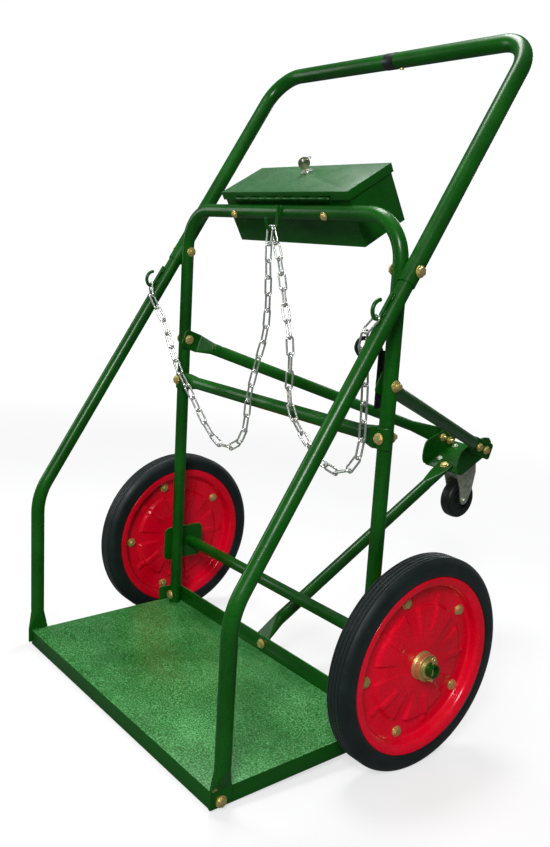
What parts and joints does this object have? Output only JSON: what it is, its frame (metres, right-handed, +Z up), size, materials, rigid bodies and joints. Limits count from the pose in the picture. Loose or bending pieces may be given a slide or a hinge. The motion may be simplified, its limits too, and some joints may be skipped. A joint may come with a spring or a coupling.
{
  "type": "oxy acetylene torch cart",
  "caption": "Tubular two-wheel cylinder cart with rear swivel caster, tilted lockable toolbox, bent push handle and hook-on retaining chains",
  "frame": {"origin": "on the ground under the middle of the cart's overall length and width, 104 mm behind the axle's middle, with the cart standing on its tyres and the platform's lip", "axes": "+Z up, +Y towards the caster and the push handle, -Y towards the front edge of the platform, +X to the right along the axle"},
  "size_m": [0.899, 1.0245, 1.3294],
  "materials": {
    "green_enamel": "gloss hammer-tone enamel",
    "red_enamel": "gloss enamel",
    "yellow_zinc": "yellow chromate zinc plate",
    "bright_zinc": "bright zinc plate",
    "tyre_rubber": "matt moulded rubber",
    "black_rubber": "satin",
    "black_plastic": "moulded, satin"
  },
  "bodies": {
    "frame": {"platform": "green_enamel", "rear_hoop": "green_enamel", "crossbar": "green_enamel", "side_tube_left": "green_enamel", "side_tube_right": "green_enamel", "handle_left": "green_enamel", "handle_right": "green_enamel", "handle_joint_band": "black_rubber", "handle_joint_plug": "yellow_zinc", "axle_tube": "green_enamel", "axle_bracket_left": "green_enamel", "axle_bracket_right": "green_enamel", "axle_spacers": "yellow_zinc", "axle_washers": "yellow_zinc", "axle_split_pins": "yellow_zinc", "strut_upper_left": "green_enamel", "strut_upper_right": "green_enamel", "strut_lower": "green_enamel", "frame_bolts": "yellow_zinc", "frame_nuts": "yellow_zinc", "caster_bracket": "green_enamel", "caster_plate": "yellow_zinc", "caster_kingpin": "yellow_zinc", "caster_bolts": "yellow_zinc", "toolbox_body": "green_enamel", "toolbox_hinge_leaf": "green_enamel", "hinge_pin": "bright_zinc", "hook_center": "green_enamel", "hook_left": "green_enamel", "hook_right": "green_enamel", "strap": "black_rubber"},
    "wheel_left": {"tyre_left": "tyre_rubber", "rim_outer_left": "red_enamel", "rim_inner_left": "red_enamel", "hub_left": "yellow_zinc", "wheel_bolts_left": "yellow_zinc", "wheel_nuts_left": "yellow_zinc"},
    "wheel_right": {"tyre_right": "tyre_rubber", "rim_outer_right": "red_enamel", "rim_inner_right": "red_enamel", "hub_right": "yellow_zinc", "wheel_bolts_right": "yellow_zinc", "wheel_nuts_right": "yellow_zinc"},
    "caster_swivel": {"caster_fork": "yellow_zinc", "caster_axle": "yellow_zinc"},
    "caster_wheel": {"caster_core": "black_plastic", "caster_tyre": "black_rubber"},
    "lid": {"toolbox_lid": "green_enamel", "lid_hinge_leaf": "green_enamel", "lock_body": "bright_zinc"},
    "lock": {"lock_plug": "bright_zinc", "key": "bright_zinc", "key_ring": "bright_zinc"},
    "chain_left_run": {"chain_left": "bright_zinc"},
    "chain_right_run": {"chain_right": "bright_zinc"}
  },
  "joints": [
    {"name": "wheel_left_spin", "type": "hinge", "parent": "frame", "child": "wheel_left", "pos_m": [-0.4025, -0.104, 0.201], "axis": [1, 0, 0], "continuous": true},
    {"name": "wheel_right_spin", "type": "hinge", "parent": "frame", "child": "wheel_right", "pos_m": [0.4025, -0.104, 0.201], "axis": [1, 0, 0], "continuous": true},
    {"name": "caster_swivel_turn", "type": "hinge", "parent": "frame", "child": "caster_swivel", "pos_m": [0, 0.45647, 0.45176], "axis": [0, -0.4785, 0.8781], "continuous": true},
    {"name": "caster_wheel_spin", "type": "hinge", "parent": "caster_swivel", "child": "caster_wheel", "pos_m": [0, 0.4637, 0.35491], "axis": [1, 0, 0], "continuous": true},
    {"name": "lid_open", "type": "hinge", "parent": "frame", "child": "lid", "pos_m": [0, -0.20771, 1.00452], "axis": [1, 0, 0], "range_deg": [0, 110]},
    {"name": "lock_turn", "type": "hinge", "parent": "lid", "child": "lock", "pos_m": [-0.012, -0.1362, 1.06604], "axis": [0, -0.546, 0.8378], "range_deg": [0, 90]},
    {"name": "chain_left_swing", "type": "hinge", "parent": "frame", "child": "chain_left_run", "pos_m": [-0.3572, -0.26425, 0.81006], "axis": [0.9327, 0.0849, 0.3504], "range_deg": [-8, 1]},
    {"name": "chain_right_swing", "type": "hinge", "parent": "frame", "child": "chain_right_run", "pos_m": [0.008, -0.22285, 0.94863], "axis": [0.9239, -0.1095, -0.3666], "range_deg": [-1.5, 4]}
  ]
}
